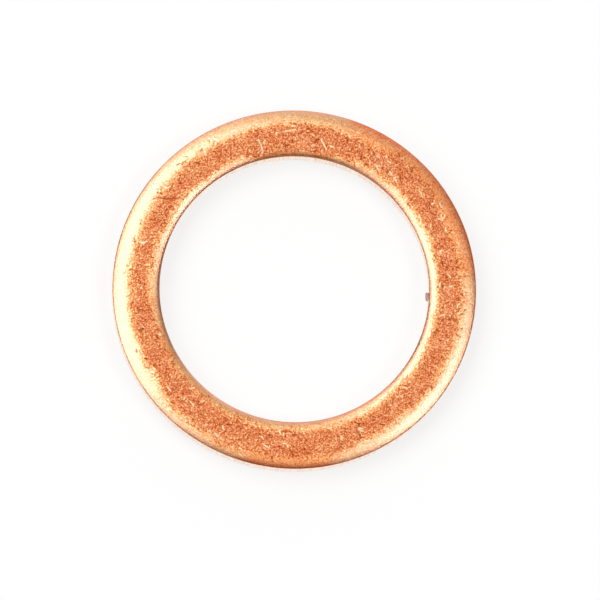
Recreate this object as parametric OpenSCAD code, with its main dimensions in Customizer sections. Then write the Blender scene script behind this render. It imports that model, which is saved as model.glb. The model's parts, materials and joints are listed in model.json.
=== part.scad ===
// Flat sealing ring for a 1/4 inch parallel pipe thread, punched from soft copper sheet.
//
// It lies on its back face. The origin is the middle of the bore in the plane of that
// face, and +Z runs along the bore towards the front face. The punch drew the front
// face down along both of its edges, so that face is a narrow flat land between two
// roll-overs. Below each roll-over comes a sheared wall, then a fracture that leans
// into the metal, and last a back edge that tumbling has rounded.

/* [Ring] */
// Diameter of the bore, which clears a 13.157 mm thread
bore_d = 13.2; // [10:0.1:14.2]
// Diameter across the rim
rim_d = 17.9; // [16:0.1:24]
// Thickness of the sheet
thickness = 1.5; // [1:0.1:3]

/* [Rolled front edges] */
// Width of the roll-over along the rim
rim_roll_w = 0.95; // [0.4:0.05:1.2]
// Depth to which the roll-over falls at the rim
rim_roll_drop = 0.24; // [0.05:0.01:0.3]
// Width of the roll-over round the bore
bore_roll_w = 0.55; // [0.4:0.05:0.8]
// Depth to which the roll-over falls at the bore
bore_roll_drop = 0.18; // [0.05:0.01:0.24]
// Radius of the nose between a roll-over and its wall
nose_r = 0.1; // [0.03:0.01:0.15]

/* [Back edges] */
// Height of the fracture above the back face
break_h = 0.45; // [0.2:0.05:0.6]
// Distance that the fracture leans into the metal
break_lean = 0.04; // [0.01:0.01:0.08]
// Radius left by tumbling on the back edges
back_r = 0.08; // [0.02:0.01:0.15]

/* [Hidden] */

bore_r = bore_d / 2;
rim_r = rim_d / 2;
// Angle of the fracture from the ring's axis
break_angle = atan2(break_lean, break_h);
// Most of the ring's width that the two roll-overs may take up, and the part of
// their full widths that they keep: all of it, except on a narrow ring
rolled_part = 0.9;
roll_keep = min(1, rolled_part * (rim_r - bore_r) / (rim_roll_w + bore_roll_w));
// Straight steps in each arc of the section
arc_steps = 6;
// Facets in a full turn of the ring
$fn = 240;

// Points along an arc of the section, without its first one
function arc(centre, r, from, to) =
    [for (i = [1:arc_steps]) let (a = from + (to - from) * i / arc_steps)
        centre + r * [cos(a), sin(a)]];

// Outline of one side of the section, from the back face up to the front face, drawn
// with the sheared wall on x = 0 and the metal on its left
function side(roll_w, roll_drop) =
    let (
        // The roll-over leaves the front face flush, and would meet the wall at its
        // full drop. The nose touches it from inside, and touches the wall.
        roll_r = (pow(roll_w, 2) + pow(roll_drop, 2)) / (2 * roll_drop),
        roll_centre = [-roll_w, thickness - roll_r],
        nose_angle = acos((roll_w - nose_r) / (roll_r - nose_r)),
        nose_centre = roll_centre + (roll_r - nose_r) * [cos(nose_angle), sin(nose_angle)],
        back_centre = [-break_lean - back_r * tan(45 - break_angle / 2), back_r]
    )
    concat(
        [[back_centre.x, 0]], arc(back_centre, back_r, -90, -break_angle),
        [[0, break_h], [0, nose_centre.y]], arc(nose_centre, nose_r, 0, nose_angle),
        arc(roll_centre, roll_r, nose_angle, 90)
    );

// Section through the ring, with the radius along x and the height along y
module section() {
    rim_side = side(roll_keep * rim_roll_w, rim_roll_drop);
    bore_side = side(roll_keep * bore_roll_w, bore_roll_drop);
    polygon(concat(
        [for (p = rim_side) [rim_r + p.x, p.y]],
        [for (i = [len(bore_side) - 1:-1:0]) [bore_r - bore_side[i].x, bore_side[i].y]]
    ));
}

module washer() {
    color([0.88, 0.53, 0.35]) rotate_extrude() section();
}

washer();
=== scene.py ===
# %% [markdown]
# A flat copper sealing washer, lying on its back face. The real ring is punched from
# soft copper sheet, annealed and tumbled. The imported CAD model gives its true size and
# place. This scene gives it the finish: a grainy land, burnished rolled edges, bright
# sheared walls, and the pits and scratches of rings that were shipped loose in a bag.

# %% The frame
import json
import math
import random

import bmesh
import bpy
from mathutils import Matrix, Vector, noise


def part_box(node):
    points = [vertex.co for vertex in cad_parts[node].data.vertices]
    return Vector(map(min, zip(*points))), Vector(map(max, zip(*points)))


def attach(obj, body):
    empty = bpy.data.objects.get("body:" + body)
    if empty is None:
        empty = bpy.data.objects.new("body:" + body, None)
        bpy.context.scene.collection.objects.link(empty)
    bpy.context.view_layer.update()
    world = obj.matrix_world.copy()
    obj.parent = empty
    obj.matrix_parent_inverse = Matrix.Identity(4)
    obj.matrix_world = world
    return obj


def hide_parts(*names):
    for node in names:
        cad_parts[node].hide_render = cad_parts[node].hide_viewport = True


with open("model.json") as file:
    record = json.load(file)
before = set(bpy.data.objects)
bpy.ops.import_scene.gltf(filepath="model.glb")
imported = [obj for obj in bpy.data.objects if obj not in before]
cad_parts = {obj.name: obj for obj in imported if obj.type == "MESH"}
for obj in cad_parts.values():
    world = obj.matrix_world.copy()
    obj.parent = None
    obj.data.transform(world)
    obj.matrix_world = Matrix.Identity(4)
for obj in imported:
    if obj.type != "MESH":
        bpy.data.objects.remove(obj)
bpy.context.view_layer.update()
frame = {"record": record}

MM = 0.001
low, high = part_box("washer")
rim_r = (high[0] - low[0]) / 2 / MM
thickness = (high[2] - low[2]) / MM
bore_mount = next(m for m in frame["record"]["mounts"] if m["name"] == "bore")
bore_r = bore_mount["dims"]["r_mm"]
print(f"ring: bore {2 * bore_r:.2f} mm, rim {2 * rim_r:.2f} mm, thickness {thickness:.2f} mm")

# %% [markdown]
# The photograph looks down on the ring from about ten degrees off the vertical, through
# a lens so long that the picture is nearly a parallel one. The camera could be placed by
# eye, but the ring's own ellipses fix it: its lean, which way it leans, how many pixels
# a millimetre takes, and the pixel under the middle of the ring's front face.

# %% The camera
FRAME_PX = 600
SENSOR_MM = 36.0
NEAREST, FARTHEST = 0.01, 10.0
lean = math.radians(10.24)
lean_towards = math.radians(256.8)
px_per_mm = 20.38
face_centre_px = (294.1, 287.9)
camera_distance = 0.8

to_camera = Vector((math.sin(lean) * math.cos(lean_towards),
                    math.sin(lean) * math.sin(lean_towards), math.cos(lean)))
picture_up = (Vector((0, 1, 0)) - to_camera * to_camera.y).normalized()
picture_right = picture_up.cross(to_camera)


def picture_offset(px, py):
    """The way from the frame's centre to a pixel, in metres in the focal plane."""
    centre = (FRAME_PX - 1) / 2
    step = MM / px_per_mm
    return picture_right * ((px - centre) * step) - picture_up * ((py - centre) * step)


face_centre = Vector((0, 0, thickness * MM))
aim = face_centre - picture_offset(*face_centre_px)
eye = aim + to_camera * camera_distance

camera = bpy.data.objects.new("camera", bpy.data.cameras.new("camera"))
camera.data.sensor_width = SENSOR_MM
camera.data.lens = SENSOR_MM * camera_distance / (FRAME_PX / px_per_mm * MM)
camera.data.clip_start, camera.data.clip_end = NEAREST, FARTHEST
turn = Matrix((picture_right, picture_up, to_camera)).transposed().to_4x4()
camera.matrix_world = Matrix.Translation(eye) @ turn
bpy.context.collection.objects.link(camera)
bpy.context.scene.camera = camera
print(f"camera: {camera.data.lens:.0f} mm lens at {camera_distance} m")

# %% [markdown]
# The scratches and the burr are placed where the photograph shows them. Their places
# could be typed in millimetres, but a pixel is easier to check against the picture. So
# one function follows the camera's ray through a pixel down to a given height.


# %% From a pixel to a place
def at_pixel(px, py, height=thickness):
    """The point, in mm, that a pixel of the photograph shows at a height above the floor."""
    ray = aim + picture_offset(px, py) - eye
    return (eye + ray * ((height * MM - eye.z) / ray.z)) / MM


print(f"one pixel is {(at_pixel(1, 0) - at_pixel(0, 0)).length:.3f} mm on the front face")

# %% [markdown]
# The section of the ring: its outline is drawn once as a closed loop of edges, from the
# same arcs as the real edges have. The punch leaves a broad roll-over on both edges of
# the front face, a small nose under each, a sheared wall, a fracture that leans in, and
# a back edge that tumbling has rounded. Their sizes, in mm, are those of the CAD model.
# The steps are fine on the face that the photograph shows and coarse under the ring.

# %% The section's outline
rim_roll_w, rim_roll_drop = 0.95, 0.24
bore_roll_w, bore_roll_drop = 0.55, 0.18
nose_r = 0.1
break_h, break_lean = 0.45, 0.04
back_r = 0.08
FACE_STEP, EDGE_STEP, WALL_STEP, BACK_STEP = 0.045, 0.02, 0.1, 0.2
FEWEST_STEPS = 3


def arc(centre, r, start, end, step):
    """Points along an arc, from one angle to another in degrees."""
    count = max(FEWEST_STEPS, round(abs(math.radians(end - start)) * r / step))
    angles = [math.radians(start + (end - start) * i / count) for i in range(count + 1)]
    return [(centre[0] + r * math.cos(a), centre[1] + r * math.sin(a)) for a in angles]


def line(a, b, step):
    """Points along a straight line, from a to b."""
    count = max(1, round(math.dist(a, b) / step))
    return [(a[0] + (b[0] - a[0]) * i / count, a[1] + (b[1] - a[1]) * i / count)
            for i in range(count + 1)]


def side(roll_w, roll_drop):
    """One side of the section, back face first, with its wall on x = 0."""
    roll_r = (roll_w ** 2 + roll_drop ** 2) / (2 * roll_drop)
    roll_centre = (-roll_w, thickness - roll_r)
    nose_angle = math.acos((roll_w - nose_r) / (roll_r - nose_r))
    nose_centre = (-nose_r, roll_centre[1] + (roll_r - nose_r) * math.sin(nose_angle))
    break_angle = math.atan2(break_lean, break_h)
    foot = back_r * math.tan(math.pi / 4 - break_angle / 2)
    back = arc((-break_lean - foot, back_r), back_r, -90, -math.degrees(break_angle), EDGE_STEP)
    nose = arc(nose_centre, nose_r, 0, math.degrees(nose_angle), EDGE_STEP)
    roll = arc(roll_centre, roll_r, math.degrees(nose_angle), 90, FACE_STEP)
    fracture = line(back[-1], (0, break_h), WALL_STEP)
    wall = line((0, break_h), nose[0], WALL_STEP)
    return back + fracture[1:] + wall[1:] + nose[1:] + roll[1:]


rim_side = [(rim_r + x, y) for x, y in side(rim_roll_w, rim_roll_drop)]
bore_side = [(bore_r - x, y) for x, y in side(bore_roll_w, bore_roll_drop)][::-1]
land = line(rim_side[-1], bore_side[0], FACE_STEP)[1:-1]
back_face = line(bore_side[-1], rim_side[0], BACK_STEP)[1:-1]
outline = rim_side + land + bore_side + back_face
print(f"section: {len(outline)} points")

# %% [markdown]
# The marks of handling, with some painted light among them. Each ring of a batch carries its own, so the
# plain ones are placed where the photographed ring has them: dark scratches; bright ones, cut as grooves
# and drawn cream, which is a painted glint; pits in the sheet; rough patches of the rolled edge that the
# tumbling never reached, darker where the edge faces the dim parts of the room, which is partly painted
# shade; spots where it rubbed the land's edge smooth and paler, set where the highlights fall, which is
# partly a painted highlight; and stretches of the rim painted a darker red where it faces the dim room,
# which is painted shade.

# %% The marks of this ring
DARK_SCRATCHES_PX = [
    [(152, 198.5), (157, 197), (169, 198.5)],
    [(311, 143.5), (319, 138.4)],
    [(357, 431), (361, 436), (359, 440)],
    [(461, 293), (462.5, 295.5)],
    [(457, 297), (459, 299)],
    [(458, 302), (460, 303), (462.5, 304.5)],
    [(457, 311), (460, 307.5)],
    [(452.5, 317.5), (456, 322)],
    [(445, 334), (448, 337.5)],
    [(433, 336), (434.5, 331)],
]
# Painted glint: these scratches are cut as grooves and drawn cream, and the cream stands in for their
# glint.
GLINTING_SCRATCHES_PX = [
    [(320.4, 138.4), (325.8, 148.6)],
    [(284, 131), (295, 129)],
    [(376, 166), (379, 171)],
    [(394, 177), (396, 182)],
    [(258, 139), (261, 146), (262, 153)],
    [(167, 386), (170, 390)],
    [(190, 401), (193, 405)],
    [(214, 432), (217, 436)],
    [(238, 452), (242, 455)],
    [(263, 444), (268, 447)],
    [(447, 273), (450, 277)],
]
PITS_PX = [(437.5, 286), (461.7, 327.5), (465, 309), (358, 439), (442, 319), (176, 253), (171, 300)]
# Partly painted shade: these rough patches spread the grain and the land's darker colours where the edge
# faces the dim parts of the room.
ROUGH_PATCHES_AND_PAINTED_SHADE_PX = [(176, 404), (198, 425), (222, 441), (246, 453), (272, 461), (300, 463),
                    (328, 458), (404, 166), (424, 184), (272, 145), (296, 142), (320, 146)]
# Partly painted highlight: these rubbed spots sit where the highlights fall on the bore's edge, and give
# it the smoother, paler rolled finish there.
RUBBED_EDGES_AND_PAINTED_HIGHLIGHT_PX = [(150, 288), (156, 240), (178, 201), (400, 195)]
# Painted shade: along these strokes the rim is drawn a darker red, where it faces the dim room.
PAINTED_RIM_SHADE_PX = [
    [(250, 459), (272, 464), (296, 466), (322, 463)],
    [(362, 124), (396, 144), (424, 168), (448, 200), (463, 234), (470, 260)],
]
print(f"placed: {len(DARK_SCRATCHES_PX)} dark and {len(GLINTING_SCRATCHES_PX)} bright scratches, "
      f"{len(PITS_PX)} pits, {len(PAINTED_RIM_SHADE_PX)} painted rim shades")

# %% [markdown]
# Besides them the land has small nicks everywhere, where ring fell on ring. They are too many and too
# alike to be placed one by one, so a seeded random draw scatters them, half of them drawn dark and half of
# them drawn cream, which is a painted glint. Each is a stroke that bends a little.

# %% The nicks
NICKS = 70
NICK_RADII = (7.0, 8.5)
NICK_LENGTHS = (0.1, 0.26)
NICK_BEND = 0.25
NICK_SEED = 7
FULL_TURN = 2 * math.pi
draw = random.Random(NICK_SEED)


def nicks(count):
    """Short strokes, in mm, scattered over the land at random."""
    strokes = []
    for _ in range(count):
        around, turned = draw.uniform(0, FULL_TURN), draw.uniform(0, FULL_TURN)
        middle = Vector((math.cos(around), math.sin(around))) * draw.uniform(*NICK_RADII)
        half = Vector((math.cos(turned), math.sin(turned))) * draw.uniform(*NICK_LENGTHS) / 2
        strokes.append([middle - half, middle + half.orthogonal() * NICK_BEND, middle + half])
    return strokes


def from_pixels(strokes):
    return [[at_pixel(*p) for p in stroke] for stroke in strokes]


strokes_of = {
    "Dark scratches": from_pixels(DARK_SCRATCHES_PX) + nicks(NICKS),
    "Bright scratches": from_pixels(GLINTING_SCRATCHES_PX) + nicks(NICKS),
    "Pits": from_pixels([p] for p in PITS_PX),
    "Rough patches": from_pixels([p] for p in ROUGH_PATCHES_AND_PAINTED_SHADE_PX),
    "Rubbed edges": from_pixels([p] for p in RUBBED_EDGES_AND_PAINTED_HIGHLIGHT_PX),
    "Stains": from_pixels(PAINTED_RIM_SHADE_PX),
}
print("strokes:", {name: len(strokes) for name, strokes in strokes_of.items()})

# %% [markdown]
# The ring's node tree has to measure how near each mark is. So the marks become loose
# points and edges in one plane, an object for each kind. They are guides that are never
# rendered, and they are deleted once the ring is made.


# %% The marks as guides
def marks_object(name, strokes):
    """Loose points and edges in the plane z = 0, from strokes in mm."""
    points, edges = [], []
    for stroke in strokes:
        start = len(points)
        points += [(p.x * MM, p.y * MM, 0) for p in stroke]
        edges += [(i, i + 1) for i in range(start, len(points) - 1)]
    mesh = bpy.data.meshes.new(name)
    mesh.from_pydata(points, edges, [])
    guide = bpy.data.objects.new(name, mesh)
    bpy.context.collection.objects.link(guide)
    return guide


marks = {name: marks_object(name, strokes) for name, strokes in strokes_of.items()}
print("guides:", {name: len(guide.data.vertices) for name, guide in marks.items()})

# %% [markdown]
# Everything that follows is made of nodes, so one small helper adds a node with its
# settings and its links. An input is given either a value or the socket that feeds it.

# %% The node helper
MATH, VECTOR, SPREAD = "ShaderNodeMath", "ShaderNodeVectorMath", "ShaderNodeMapRange"
NOISE, BLEND = "ShaderNodeTexNoise", "ShaderNodeMix"


def add(tree, kind, inputs=None, **settings):
    node = tree.nodes.new(kind)
    for name, value in settings.items():
        setattr(node, name, value)
    for key, value in (inputs or {}).items():
        if isinstance(value, bpy.types.NodeSocket):
            tree.links.new(value, node.inputs[key])
        else:
            node.inputs[key].default_value = value
    return node


# %% [markdown]
# The ring follows a rule, so Geometry Nodes make it, as one tree with a named input for each size. The
# land lies a little off the ring's centre, as the photograph shows. Of the three sizes that shift the
# land's border, those below 0 widen it: the fray of the border and the rough patches, which also bring
# painted shade. The rubbed spots narrow it, and bring a painted highlight.

# %% The tree's inputs
TURNS = 860
LAND_CENTRE_MM = (0.08, -0.04, 0.0)
SIZES_MM = {
    "Path radius": 1.0,
    "Land middle": 7.59,
    "Land reach": 0.62,
    "Border fray": -0.6,
    "Patch push": -0.36,
    "Rub pull": 0.24,
    "Patch radius": 1.8,
    "Stain radius": 1.3,
    "Tear swing": 0.3,
    "Scratch half width": 0.05,
    "Pit radius": 0.09,
    "Wave depth": 0.012,
    "Ripple depth": 0.01,
    "Grain depth": 0.012,
    "Scratch depth": 0.015,
    "Pit depth": 0.03,
}

ring_tree = bpy.data.node_groups.new("punched ring", "GeometryNodeTree")
sockets = {}
for name, kind, value in [
    ("Outline", "NodeSocketGeometry", None),
    ("Material", "NodeSocketMaterial", None),
    ("Turns", "NodeSocketInt", TURNS),
    ("Land centre", "NodeSocketVector", [c * MM for c in LAND_CENTRE_MM]),
    *[(name, "NodeSocketFloat", size * MM) for name, size in SIZES_MM.items()],
    *[(name, "NodeSocketObject", guide) for name, guide in marks.items()],
]:
    sockets[name] = ring_tree.interface.new_socket(name=name, in_out="INPUT", socket_type=kind)
    if value is not None:
        sockets[name].default_value = value
ring_tree.interface.new_socket(name="Ring", in_out="OUTPUT", socket_type="NodeSocketGeometry")
given = ring_tree.nodes.new("NodeGroupInput").outputs
print(f"tree: {len(sockets)} inputs")

# %% [markdown]
# Curve to Mesh sweeps the outline round a circle, which leaves what a punch would leave.
# The circle's own radius doesn't matter: the outline is drawn from it, and not from the
# ring's axis.

# %% The sweep
profile = add(ring_tree, "GeometryNodeMeshToCurve", {0: given["Outline"]})
path = add(ring_tree, "GeometryNodeCurvePrimitiveCircle",
           {"Resolution": given["Turns"], "Radius": given["Path radius"]})
swept = add(ring_tree, "GeometryNodeCurveToMesh",
            {"Curve": path.outputs[0], "Profile Curve": profile.outputs[0]})
print(f"sweep: {FULL_TURN * rim_r / TURNS:.3f} mm between two sections at the rim")

# %% [markdown]
# Then the tree has to know which part of the section a point is on. The height of its
# normal tells the flat faces, the rolled edges, the noses and the walls apart. Each zone
# is given by the height at which it begins and the one at which it is full.

# %% Which part a point is on
ZONES = {
    "face": (0.3, 0.6),
    "back": (-0.8, -0.95),
    "tilted": (0.94, 0.88),
    "past the roll-over": (0.86, 0.8),
    "above the wall": (0.45, 0.65),
}
SHEER_FROM, SHEER_FULL = 0.65, 0.45

position = ring_tree.nodes.new("GeometryNodeInputPosition").outputs[0]
normal = ring_tree.nodes.new("GeometryNodeInputNormal").outputs[0]
in_mm = add(ring_tree, VECTOR, {0: position, "Scale": 1 / MM}, operation="SCALE").outputs[0]
facing_up = add(ring_tree, "ShaderNodeSeparateXYZ", {0: normal}).outputs[2]
upright = add(ring_tree, MATH, {0: facing_up}, operation="ABSOLUTE").outputs[0]
zone = {name: add(ring_tree, SPREAD, {"Value": facing_up, "From Min": begins, "From Max": full}).outputs[0]
        for name, (begins, full) in ZONES.items()}
steep = add(ring_tree, MATH, {0: zone["tilted"], 1: zone["back"]}, operation="SUBTRACT").outputs[0]
nose = add(ring_tree, MATH, {0: zone["past the roll-over"], 1: zone["above the wall"]},
           operation="MULTIPLY").outputs[0]
sheer = add(ring_tree, SPREAD,
            {"Value": upright, "From Min": SHEER_FROM, "From Max": SHEER_FULL}).outputs[0]
print(f"zones: {', '.join(zone)}")

# %% [markdown]
# A wall is sheared smooth by the punch down to a ragged line, and torn below it. The line
# runs near the corner where the fracture begins to lean, and a noise lets it swing up and
# down. The noise adds half of its swing on average, so its limits lie that much higher.

# %% The torn foot of the walls
TEARS_PER_MM = 3.0
SHEARED_ABOVE, TORN_BELOW = break_h + 0.16, break_h + 0.12

above_table = add(ring_tree, "ShaderNodeSeparateXYZ", {0: position}).outputs[2]
tear = add(ring_tree, NOISE, {"Vector": in_mm, "Scale": TEARS_PER_MM, "Detail": 3.0}).outputs[0]
tear_line = add(ring_tree, MATH, {0: tear, 1: given["Tear swing"], 2: above_table},
                operation="MULTIPLY_ADD").outputs[0]
torn_off = add(ring_tree, SPREAD, {"Value": tear_line, "From Min": SHEARED_ABOVE * MM,
                                   "From Max": TORN_BELOW * MM}).outputs[0]
torn = add(ring_tree, MATH, {0: torn_off, 1: sheer}, operation="MULTIPLY").outputs[0]
wall = add(ring_tree, MATH, {0: sheer, 1: torn}, operation="SUBTRACT").outputs[0]
mean_line = (SHEARED_ABOVE + TORN_BELOW - SIZES_MM["Tear swing"]) / 2
print(f"walls: torn below about {mean_line:.2f} mm")

# %% [markdown]
# The guides give each point its closeness to every kind of mark, and these decide, with
# a slow noise, how far the grain of the land reaches. A plain ring of grain would look
# printed on, so its border is frayed, pushed out and pulled in.

# %% The border of the land
FRAY_PER_MM = 0.9

flat_place = add(ring_tree, VECTOR, {0: position, 1: (1, 1, 0)}, operation="MULTIPLY").outputs[0]
radius = add(ring_tree, VECTOR, {0: flat_place, 1: given["Land centre"]},
             operation="DISTANCE").outputs["Value"]


def closeness(name, reach, element):
    """How close a point is to the marks of one kind: 1 on them, 0 at their reach."""
    seen = add(ring_tree, "GeometryNodeObjectInfo", {"Object": given[name]})
    near = add(ring_tree, "GeometryNodeProximity",
               {"Geometry": seen.outputs["Geometry"], "Sample Position": flat_place},
               target_element=element)
    shade = add(ring_tree, SPREAD,
                {"Value": near.outputs["Distance"], "From Min": given[reach], "From Max": 0.0},
                interpolation_type="SMOOTHSTEP").outputs[0]
    return add(ring_tree, MATH, {0: shade, 1: zone["face"]}, operation="MULTIPLY").outputs[0]


# The rough patches push the land's darker colours out where the edge faces the dim parts of the room,
# which is partly painted shade.
missed_and_painted_shade = closeness("Rough patches", "Patch radius", "POINTS")
# The rubbed spots pull the paler rolled colours in where the highlights fall, which is partly a painted
# highlight.
smoothed_with_painted_highlight = closeness("Rubbed edges", "Patch radius", "POINTS")
fray = add(ring_tree, NOISE, {"Vector": in_mm, "Scale": FRAY_PER_MM, "Detail": 4.0}).outputs[0]
off_middle = add(ring_tree, MATH, {0: radius, 1: given["Land middle"]},
                 operation="SUBTRACT").outputs[0]
border = add(ring_tree, MATH, {0: off_middle}, operation="ABSOLUTE").outputs[0]
for amount, shift in [(fray, "Border fray"), (missed_and_painted_shade, "Patch push"), (smoothed_with_painted_highlight, "Rub pull")]:
    border = add(ring_tree, MATH, {0: amount, 1: given[shift], 2: border},
                 operation="MULTIPLY_ADD").outputs[0]
near_land = add(ring_tree, SPREAD,
                {"Value": border, "From Min": given["Land reach"], "From Max": 0.0}).outputs[0]
on_front = add(ring_tree, MATH, {0: near_land, 1: zone["face"]}, operation="MULTIPLY").outputs[0]
grainy = add(ring_tree, MATH, {0: on_front, 1: zone["back"]}, operation="MAXIMUM").outputs[0]
print(f"land: {2 * SIZES_MM['Land reach']:.2f} mm wide before it is frayed")

# %% [markdown]
# Next, the tree moves each point inwards along its normal. A slow wave and a ripple keep
# the highlights from looking machined. The grain is on the land only, which the tumbling
# media never polished. The scratches and pits are cut where the marks lie. Nothing moves
# outwards, so the ring stays inside its true size.

# %% Waves, grain and marks
WAVES_PER_MM, RIPPLES_PER_MM, GRAINS_PER_MM = 0.45, 2.2, 5.0

scratched = closeness("Dark scratches", "Scratch half width", "EDGES")
# The bright scratches are cut as grooves, and their cream colour is a painted glint.
cut_painted_glint = closeness("Bright scratches", "Scratch half width", "EDGES")
pitted = closeness("Pits", "Pit radius", "POINTS")
# Painted shade: near these strokes the rim is drawn a darker red and loses most of its film.
stained = closeness("Stains", "Stain radius", "EDGES")
scar = add(ring_tree, MATH, {0: scratched, 1: pitted}, operation="MAXIMUM").outputs[0]

wave, ripple, grain = [
    add(ring_tree, NOISE, {"Vector": in_mm, "Scale": per_mm, "Detail": 2.0}).outputs[0]
    for per_mm in (WAVES_PER_MM, RIPPLES_PER_MM, GRAINS_PER_MM)]
grain_there = add(ring_tree, MATH, {0: grain, 1: grainy}, operation="MULTIPLY").outputs[0]

sink = add(ring_tree, MATH, {0: wave, 1: given["Wave depth"]}, operation="MULTIPLY").outputs[0]
for amount, depth in [(ripple, "Ripple depth"), (grain_there, "Grain depth"),
                      (scratched, "Scratch depth"), (cut_painted_glint, "Scratch depth"),
                      (pitted, "Pit depth")]:
    sink = add(ring_tree, MATH, {0: amount, 1: given[depth], 2: sink},
               operation="MULTIPLY_ADD").outputs[0]
rise = add(ring_tree, MATH, {0: sink, 1: -1.0}, operation="MULTIPLY").outputs[0]
inwards = add(ring_tree, VECTOR, {0: normal, "Scale": rise}, operation="SCALE").outputs[0]
depths = {name: size for name, size in SIZES_MM.items() if "depth" in name}
print("cut inwards, in mm at most:", depths)

# %% [markdown]
# The finish has to know the same parts and marks, so the tree stores them on the mesh as
# named attributes before it moves the points. It ends in Realize Instances and Set
# Material, so that what it makes is a plain mesh with its copper on.

# %% The masks and the end of the tree
masks_on_ring = {"grainy": grainy, "steep": steep, "nose": nose, "wall": wall, "torn": torn,
                 "stained": stained, "scar": scar, "fresh": cut_painted_glint}
shape = swept.outputs[0]
for name, value in masks_on_ring.items():
    shape = add(ring_tree, "GeometryNodeStoreNamedAttribute",
                {"Geometry": shape, "Name": name, "Value": value},
                data_type="FLOAT", domain="POINT").outputs[0]
moved = add(ring_tree, "GeometryNodeSetPosition", {"Geometry": shape, "Offset": inwards})
smooth = add(ring_tree, "GeometryNodeSetShadeSmooth", {"Geometry": moved.outputs[0]})
real = add(ring_tree, "GeometryNodeRealizeInstances", {0: smooth.outputs[0]})
dressed = add(ring_tree, "GeometryNodeSetMaterial",
              {"Geometry": real.outputs[0], "Material": given["Material"]})
result = ring_tree.nodes.new("NodeGroupOutput")
ring_tree.links.new(dressed.outputs[0], result.inputs[0])
print(f"tree: {len(ring_tree.nodes)} nodes, masks {', '.join(masks_on_ring)}")

# %% [markdown]
# The finish is tumbled, annealed copper. Annealing grew the metal's crystals, and the
# tumbling media rubbed their tops bright and left the hollows dark, so the face looks
# like fine leather. A bump alone would be too faint at this size, so the grain is drawn
# in the colour too, from three noises: a fine grit, the curled creases between clumps of
# crystals, and slow patches. The real crystals are about 0.03 mm across, and the grit is
# drawn 0.08 mm across, because anything finer than a pixel and a half is lost.

# %% The copper's grain
GRIT_PER_MM, CREASES_PER_MM, PATCHES_PER_MM = 12.0, 5.5, 1.3
GRIT_SHARE, CREASE_SHARE, PATCH_SHARE = 2.6, -1.1, 0.4
NOISE_MEAN, CREASE_MEAN = 0.5, 0.1


def crystal_grain(tree, mm):
    """How far a spot lies above the mean of the grain, which is below 0 in a hollow."""
    grit = add(tree, NOISE, {"Vector": mm, "Scale": GRIT_PER_MM, "Detail": 3.0,
                             "Roughness": 0.75, "Distortion": 0.4}).outputs[0]
    curl = add(tree, NOISE, {"Vector": mm, "Scale": CREASES_PER_MM, "Detail": 2.0,
                             "Distortion": 1.2}).outputs[0]
    off_crease = add(tree, MATH, {0: curl, 1: NOISE_MEAN}, operation="SUBTRACT").outputs[0]
    crease = add(tree, MATH, {0: off_crease}, operation="ABSOLUTE").outputs[0]
    patches = add(tree, NOISE, {"Vector": mm, "Scale": PATCHES_PER_MM, "Detail": 3.0}).outputs[0]
    height = 0.0
    for term, mean, share in [(grit, NOISE_MEAN, GRIT_SHARE), (crease, CREASE_MEAN, CREASE_SHARE),
                              (patches, NOISE_MEAN, PATCH_SHARE)]:
        off = add(tree, MATH, {0: term, 1: mean}, operation="SUBTRACT").outputs[0]
        height = add(tree, MATH, {0: off, 1: share, 2: height}, operation="MULTIPLY_ADD").outputs[0]
    return height


# %% [markdown]
# The grain picks a place on a colour scale, and each part of the ring has its own scale.
# The land runs from the brown of a hollow to the cream of a rubbed top. The rolled edges, which the media
# reached best, are golden. The walls are pale, newly sheared metal, drawn into long streaks where the
# punch dragged along them, and their torn foot is coarser. Where the rim faces the dim room it is painted
# a darker red orange, which is painted shade. A scratch or a pit is drawn dark brown, and a bright scratch
# is drawn cream, which is a painted glint.

# %% The copper's colours
LAND_COLOURS = [(0.0, "#8F2A08"), (0.25, "#BD5726"), (0.5, "#DB8456"), (0.75, "#ECAC7A"),
                (1.0, "#FFE2B4")]
ROLLED_COLOURS = [(0.0, "#8A5A1C"), (0.25, "#D07C30"), (0.5, "#FCA248"), (0.75, "#FFBC60"),
                  (1.0, "#FFECAC")]
# Painted shade: the darker reds of the rim where it faces the dim room.
PAINTED_RIM_SHADE_COLOURS = [(0.1, "#C8501C"), (0.4, "#F47C38"), (0.6, "#FF9C58"), (0.9, "#FFC894")]
WALL_COLOURS = [(0.3, "#E8A068"), (0.5, "#FFC890"), (0.7, "#FFE4C0")]
TORN_COLOURS = [(0.1, "#D08850"), (0.5, "#FCC490"), (0.9, "#FFECCE")]
STEEP, PAINTED_SHADE_STEEP, STEEP_SHARE = "#F8803C", "#F05820", 0.75
NOSE, PAINTED_SHADE_NOSE = "#E08C48", "#C8501C"
# The cream of a bright scratch is a painted glint.
SCAR, PAINTED_GLINT = "#8A2C08", "#FFECC0"


def linear(colour):
    """An sRGB hex colour as linear RGBA, by the formula of the sRGB standard."""
    parts = [int(colour[i:i + 2], 16) / 255 for i in (1, 3, 5)]
    return [c / 12.92 if c <= 0.04045 else ((c + 0.055) / 1.055) ** 2.4 for c in parts] + [1.0]


def colour_scale(tree, level, stops):
    """The colour at a level between 0 and 1, from stops of a place and a colour."""
    scale = add(tree, "ShaderNodeValToRGB", {0: level})
    for at, _ in stops[1:-1]:
        scale.color_ramp.elements.new(at)
    for stop, (at, colour) in zip(scale.color_ramp.elements, stops):
        stop.position, stop.color = at, linear(colour)
    return scale.outputs["Color"]


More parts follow.
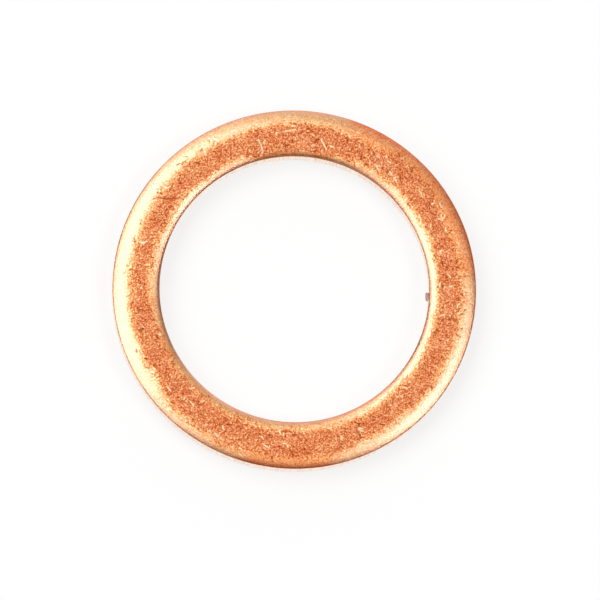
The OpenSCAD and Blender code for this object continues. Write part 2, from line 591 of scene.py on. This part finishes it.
def copper_colour(tree, masks, level, burnish, drag):
    """The base colour: land and rolled edges by their burnish, and the other parts over them."""
    colour = add(tree, BLEND, {0: burnish, 6: colour_scale(tree, level, LAND_COLOURS),
                               7: colour_scale(tree, level, ROLLED_COLOURS)},
                 data_type="RGBA").outputs[2]
    # Painted shade: where the rim faces the dim room, its rolled edge, steep part and nose take darker
    # reds.
    painted_shade_roll = add(tree, MATH, {0: masks["stained"], 1: burnish}, operation="MULTIPLY").outputs[0]
    soft_steep = add(tree, MATH, {0: masks["steep"], 1: STEEP_SHARE}, operation="MULTIPLY").outputs[0]
    steep_colour = add(tree, BLEND, {0: masks["stained"], 6: linear(STEEP), 7: linear(PAINTED_SHADE_STEEP)},
                       data_type="RGBA").outputs[2]
    nose_colour = add(tree, BLEND, {0: masks["stained"], 6: linear(NOSE), 7: linear(PAINTED_SHADE_NOSE)},
                      data_type="RGBA").outputs[2]
    for mask, over in [(painted_shade_roll, colour_scale(tree, level, PAINTED_RIM_SHADE_COLOURS)),
                       (soft_steep, steep_colour),
                       (masks["nose"], nose_colour),
                       (masks["wall"], colour_scale(tree, drag, WALL_COLOURS)),
                       (masks["torn"], colour_scale(tree, level, TORN_COLOURS)),
                       (masks["scar"], linear(SCAR)),
                       (masks["fresh"], linear(PAINTED_GLINT))]:
        colour = add(tree, BLEND, {0: mask, 6: colour, 7: over}, data_type="RGBA").outputs[2]
    return colour


# %% [markdown]
# Over the metal lies the thin clear oxide of copper. Its index is so high that it throws
# back a pale highlight of its own, which is why the lit edges look cream and not orange.
# That is what a coat over the metal does, so the metal itself keeps its usual index. The film shows where
# the metal is burnished. The noses have worn half of it off, and on the painted rim shade or in a scratch
# there is little or none.

# %% The copper's oxide film
OXIDE_IOR = 2.9
OXIDE_ROUGHNESS = 0.18
FILM_FROM, FILM_FULL = 0.7, 0.2
FILM_LOST = {"nose": 0.5, "stained": 0.8, "scar": 1.0}


def oxide_film(tree, masks, ragged):
    """How much of the film shows, from 0 to 1."""
    polish = add(tree, SPREAD, {"Value": ragged, "From Min": FILM_FROM, "From Max": FILM_FULL}).outputs[0]
    bare = 0.0
    for name, share in FILM_LOST.items():
        lost = add(tree, MATH, {0: masks[name], 1: share}, operation="MULTIPLY").outputs[0]
        bare = add(tree, MATH, {0: lost, 1: bare}, operation="MAXIMUM").outputs[0]
    left = add(tree, SPREAD, {"Value": bare, "To Min": 1.0, "To Max": 0.0}).outputs[0]
    return add(tree, MATH, {0: polish, 1: left}, operation="MULTIPLY").outputs[0]


# %% [markdown]
# The material puts the grain, the colours and the film together. The land lies lower on
# its colour scale than the rolled edges and has the stronger grain. Its border follows
# the grain, because the media polished the tops further in than the hollows. The rolled
# edges are smoother than the land, and the walls are the smoothest. The punch's drag
# marks run down the walls, about 0.1 mm apart, which is as coarse as a worn punch leaves
# them, and are so long that most reach from one end of the wall to the other.

# %% The copper
ROLLED_CONTRAST, LAND_CONTRAST = 0.8, 1.0
LEVEL, LAND_DROP = 0.6, -0.14
BORDER_BY_GRAIN = -0.8
BURNISH_FROM, BURNISH_FULL = 0.8, 0.35
LAND_ROUGHNESS, ROLLED_ROUGHNESS, WALL_ROUGHNESS = 0.6, 0.45, 0.22
STREAKS_PER_MM, STREAKS_DOWN_PER_MM = 9.0, 0.7
GRIT_BUMP_MM, STREAK_BUMP_MM = 0.006, 0.02


def copper_finish():
    material = bpy.data.materials.new("tumbled annealed copper")
    material.use_nodes = True
    tree = material.node_tree
    tree.nodes.clear()
    place = tree.nodes.new("ShaderNodeTexCoord").outputs["Object"]
    mm = add(tree, VECTOR, {0: place, "Scale": 1 / MM}, operation="SCALE").outputs[0]
    masks = {name: add(tree, "ShaderNodeAttribute", attribute_name=name).outputs["Fac"]
             for name in masks_on_ring}

    height = crystal_grain(tree, mm)
    contrast = add(tree, SPREAD, {"Value": masks["grainy"], "To Min": ROLLED_CONTRAST,
                                  "To Max": LAND_CONTRAST}).outputs[0]
    drop = add(tree, SPREAD, {"Value": masks["grainy"], "To Min": 0.0, "To Max": LAND_DROP}).outputs[0]
    off_level = add(tree, MATH, {0: height, 1: contrast, 2: drop}, operation="MULTIPLY_ADD").outputs[0]
    level = add(tree, MATH, {0: off_level, 1: LEVEL}, operation="ADD").outputs[0]
    ragged = add(tree, MATH, {0: height, 1: BORDER_BY_GRAIN, 2: masks["grainy"]},
                 operation="MULTIPLY_ADD").outputs[0]
    burnish = add(tree, SPREAD, {"Value": ragged, "From Min": BURNISH_FROM,
                                 "From Max": BURNISH_FULL}).outputs[0]
    along_wall = add(tree, VECTOR, {0: mm, 1: (STREAKS_PER_MM, STREAKS_PER_MM, STREAKS_DOWN_PER_MM)},
                     operation="MULTIPLY").outputs[0]
    drag = add(tree, NOISE, {"Vector": along_wall, "Scale": 1.0, "Detail": 2.0}).outputs[0]

    matt = add(tree, SPREAD, {"Value": burnish, "To Min": LAND_ROUGHNESS,
                              "To Max": ROLLED_ROUGHNESS}).outputs[0]
    roughness = add(tree, SPREAD, {"Value": masks["steep"], "To Min": matt,
                                   "To Max": WALL_ROUGHNESS}).outputs[0]
    streaks = add(tree, MATH, {0: drag, 1: masks["wall"]}, operation="MULTIPLY").outputs[0]
    grit_bump = add(tree, "ShaderNodeBump", {"Height": level, "Distance": GRIT_BUMP_MM * MM}).outputs[0]
    bump = add(tree, "ShaderNodeBump", {"Height": streaks, "Distance": STREAK_BUMP_MM * MM,
                                        "Normal": grit_bump}).outputs[0]
    shader = add(tree, "ShaderNodeBsdfPrincipled",
                 {"Base Color": copper_colour(tree, masks, level, burnish, drag), "Metallic": 1.0,
                  "Roughness": roughness, "Normal": bump,
                  "Coat Weight": oxide_film(tree, masks, ragged), "Coat IOR": OXIDE_IOR,
                  "Coat Roughness": OXIDE_ROUGHNESS, "Coat Normal": grit_bump})
    add(tree, "ShaderNodeOutputMaterial", {"Surface": shader.outputs[0]})
    return material


copper = copper_finish()
print(f"{copper.name}: {len(copper.node_tree.nodes)} nodes")

# %% [markdown]
# The tree runs as a modifier on the section's outline, a loop of edges. The evaluated
# object then gives a plain mesh, and the outline with its modifier and the guides of the
# marks are deleted, so that only the finished ring is handed to the frame.

# %% The ring
path_r = SIZES_MM["Path radius"] * MM
loop = bpy.data.meshes.new("section outline")
loop.from_pydata([(x * MM - path_r, -y * MM, 0) for x, y in reversed(outline)],
                 [(i, (i + 1) % len(outline)) for i in range(len(outline))], [])
maker = bpy.data.objects.new("section outline", loop)
bpy.context.collection.objects.link(maker)
modifier = maker.modifiers.new("punched ring", "NODES")
modifier.node_group = ring_tree
modifier[sockets["Material"].identifier] = copper
for name, socket in sockets.items():
    if name not in ("Outline", "Material"):
        modifier[socket.identifier] = socket.default_value

evaluated = maker.evaluated_get(bpy.context.evaluated_depsgraph_get())
ring_mesh = bpy.data.meshes.new_from_object(evaluated)
ring_mesh.name = "copper_ring"
for helper in [maker, *marks.values()]:
    bpy.data.objects.remove(helper)
ring = bpy.data.objects.new("copper_ring", ring_mesh)
bpy.context.collection.objects.link(ring)
triangles = sum(len(p.vertices) - 2 for p in ring_mesh.polygons)
print(f"ring: {len(ring_mesh.vertices)} points, {triangles} triangles")
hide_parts("washer")
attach(ring, "root")

# %% [markdown]
# One crumb of the sheared edge still clings to the wall of the bore, on the right. It could be part of the
# swept ring, but it is a lump of its own on a plain wall, so a small ball is squeezed, dented by a noise
# and pressed against the wall. It is drawn a pale mauve, in blotches.

# %% The burr in the bore
BURR_PX = (426.6, 296.2)
BURR_HEIGHT = 1.12
BURR_HALF = (0.1, 0.23, 0.12)
BURR_DENT = 0.35
DENTS_PER_BALL = 1.7
BALL_SPLITS = 3
BURR_DARK, BURR_PALE = "#9C7474", "#E8C8C8"
BURR_ROUGHNESS = 0.55
BURR_BUMP_MM = 0.02


def burr_finish():
    material = bpy.data.materials.new("pale mauve torn copper")
    material.use_nodes = True
    tree = material.node_tree
    tree.nodes.clear()
    place = tree.nodes.new("ShaderNodeTexCoord").outputs["Object"]
    blotch = add(tree, NOISE, {"Vector": place, "Scale": GRIT_PER_MM / MM, "Detail": 2.0}).outputs[0]
    colour = add(tree, BLEND, {0: blotch, 6: linear(BURR_DARK), 7: linear(BURR_PALE)},
                 data_type="RGBA").outputs[2]
    bump = add(tree, "ShaderNodeBump", {"Height": blotch, "Distance": BURR_BUMP_MM * MM}).outputs[0]
    shader = add(tree, "ShaderNodeBsdfPrincipled", {"Base Color": colour, "Metallic": 1.0,
                                                    "Roughness": BURR_ROUGHNESS, "Normal": bump})
    add(tree, "ShaderNodeOutputMaterial", {"Surface": shader.outputs[0]})
    return material


ball = bmesh.new()
bmesh.ops.create_icosphere(ball, subdivisions=BALL_SPLITS, radius=1.0)
burr_place = at_pixel(*BURR_PX, BURR_HEIGHT)
for vertex in ball.verts:
    dent = BURR_DENT * noise.noise(vertex.co * DENTS_PER_BALL)
    squeezed = Vector([c * half for c, half in zip(vertex.co * (1 - dent), BURR_HALF)])
    vertex.co = (burr_place + squeezed) * MM
burr_mesh = bpy.data.meshes.new("bore_burr")
ball.to_mesh(burr_mesh)
ball.free()
burr_mesh.materials.append(burr_finish())
burr = bpy.data.objects.new("bore_burr", burr_mesh)
bpy.context.collection.objects.link(burr)
print(f"burr: {burr_place.xy.length:.2f} mm from the axis, {len(burr_mesh.polygons)} faces")
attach(burr, "root")

# %% [markdown]
# The ring lies on white paper that the photograph shows as almost pure white. More light
# would bleach the copper too, so the paper is partly plain white for the camera and
# partly lit by the lamps, which keeps the ring's soft shadow. Metal and glass would see
# it plain white, as they do on a real white table.

# %% The table
TABLE_HALF = 3.0
PLAIN_WHITE_SHARE = 0.72
PAPER, WHITE = "#F4F4F4", "#FFFFFF"


def table_finish():
    material = bpy.data.materials.new("white paper table")
    material.use_nodes = True
    tree = material.node_tree
    tree.nodes.clear()
    rays = tree.nodes.new("ShaderNodeLightPath").outputs
    mirrored = add(tree, MATH, {0: rays["Is Glossy Ray"], 1: rays["Is Transmission Ray"]},
                   operation="MAXIMUM").outputs[0]
    seen = add(tree, MATH, {0: rays["Is Camera Ray"], 1: PLAIN_WHITE_SHARE},
               operation="MULTIPLY").outputs[0]
    share = add(tree, MATH, {0: seen, 1: mirrored}, operation="MAXIMUM").outputs[0]
    paper = add(tree, "ShaderNodeBsdfDiffuse", {"Color": linear(PAPER)})
    white = add(tree, "ShaderNodeEmission", {"Color": linear(WHITE), "Strength": 1.0})
    mixed = add(tree, "ShaderNodeMixShader", {0: share, 1: paper.outputs[0], 2: white.outputs[0]})
    add(tree, "ShaderNodeOutputMaterial", {"Surface": mixed.outputs[0]})
    return material


table_mesh = bpy.data.meshes.new("table")
corners = [(x * TABLE_HALF, y * TABLE_HALF, 0) for x, y in ((-1, -1), (1, -1), (1, 1), (-1, 1))]
table_mesh.from_pydata(corners, [], [(0, 1, 2, 3)])
table_mesh.materials.append(table_finish())
table = bpy.data.objects.new("table", table_mesh)
bpy.context.collection.objects.link(table)
print(f"table: {2 * TABLE_HALF:.0f} m square")

# %% [markdown]
# Polished metal shows only what it reflects, so the studio is laid out as the ring sees
# it. The room is dim, and only the camera, looking past the table's edge, sees a white
# backdrop in its place. A large soft box on the left and a smaller, brighter one at the
# lower right give the two highlights, and a pale ceiling lights the land. Four faint
# ones, at the front and round the back, keep the noses and the far edges from going dark.

# %% The room and the lamps
ROOM_STRENGTH = 0.15
LAMP_DISTANCE = 1.5

world = bpy.data.worlds.new("studio")
bpy.context.scene.world = world
world.use_nodes = True
world.node_tree.nodes.clear()
rays = world.node_tree.nodes.new("ShaderNodeLightPath").outputs
room = add(world.node_tree, "ShaderNodeBackground",
           {"Color": linear(WHITE), "Strength": ROOM_STRENGTH})
backdrop = add(world.node_tree, "ShaderNodeBackground",
               {"Color": linear(WHITE), "Strength": 1.0})
both = add(world.node_tree, "ShaderNodeMixShader",
           {0: rays["Is Camera Ray"], 1: room.outputs[0], 2: backdrop.outputs[0]})
add(world.node_tree, "ShaderNodeOutputWorld", {"Surface": both.outputs[0]})


def soft_box(name, azimuth, from_zenith, long, short, runs, brightness):
    """A lamp facing the ring. Its place, size and the way its long side runs are in degrees,
    as the ring sees them; brightness is what a mirror would show of it."""
    data = bpy.data.lights.new(name, "AREA")
    data.shape = "RECTANGLE"
    data.size = 2 * LAMP_DISTANCE * math.tan(math.radians(long / 2))
    data.size_y = 2 * LAMP_DISTANCE * math.tan(math.radians(short / 2))
    data.energy = brightness * math.pi * data.size * data.size_y
    lamp = bpy.data.objects.new(name, data)
    a, z, r = math.radians(azimuth), math.radians(from_zenith), math.radians(runs)
    way = Vector((math.sin(z) * math.cos(a), math.sin(z) * math.sin(a), math.cos(z)))
    along = Vector((math.cos(r), math.sin(r), 0))
    along = (along - way * along.dot(way)).normalized()
    facing = Matrix((along, way.cross(along), way)).transposed().to_4x4()
    lamp.matrix_world = Matrix.Translation(way * LAMP_DISTANCE) @ facing
    lamp.visible_camera = False
    bpy.context.collection.objects.link(lamp)
    print(f"lamp {name}: {data.size:.2f} x {data.size_y:.2f} m, {data.energy:.1f} W")


soft_box("ceiling", azimuth=77, from_zenith=3, long=56, short=56, runs=0, brightness=0.62)
soft_box("left", azimuth=164, from_zenith=34, long=64, short=38, runs=60, brightness=2.7)
soft_box("lower right", azimuth=338, from_zenith=36, long=28, short=20, runs=100, brightness=4.7)
soft_box("front", azimuth=257, from_zenith=68, long=90, short=40, runs=347, brightness=0.3)
soft_box("back right", azimuth=42, from_zenith=54, long=60, short=40, runs=132, brightness=0.22)
soft_box("back", azimuth=86, from_zenith=72, long=90, short=34, runs=0, brightness=0.72)
soft_box("back left", azimuth=108, from_zenith=45, long=40, short=30, runs=90, brightness=0.25)

# %% [markdown]
# The Standard view shows a colour as it is written, which suits white paper.

bpy.context.scene.view_settings.view_transform = "Standard"
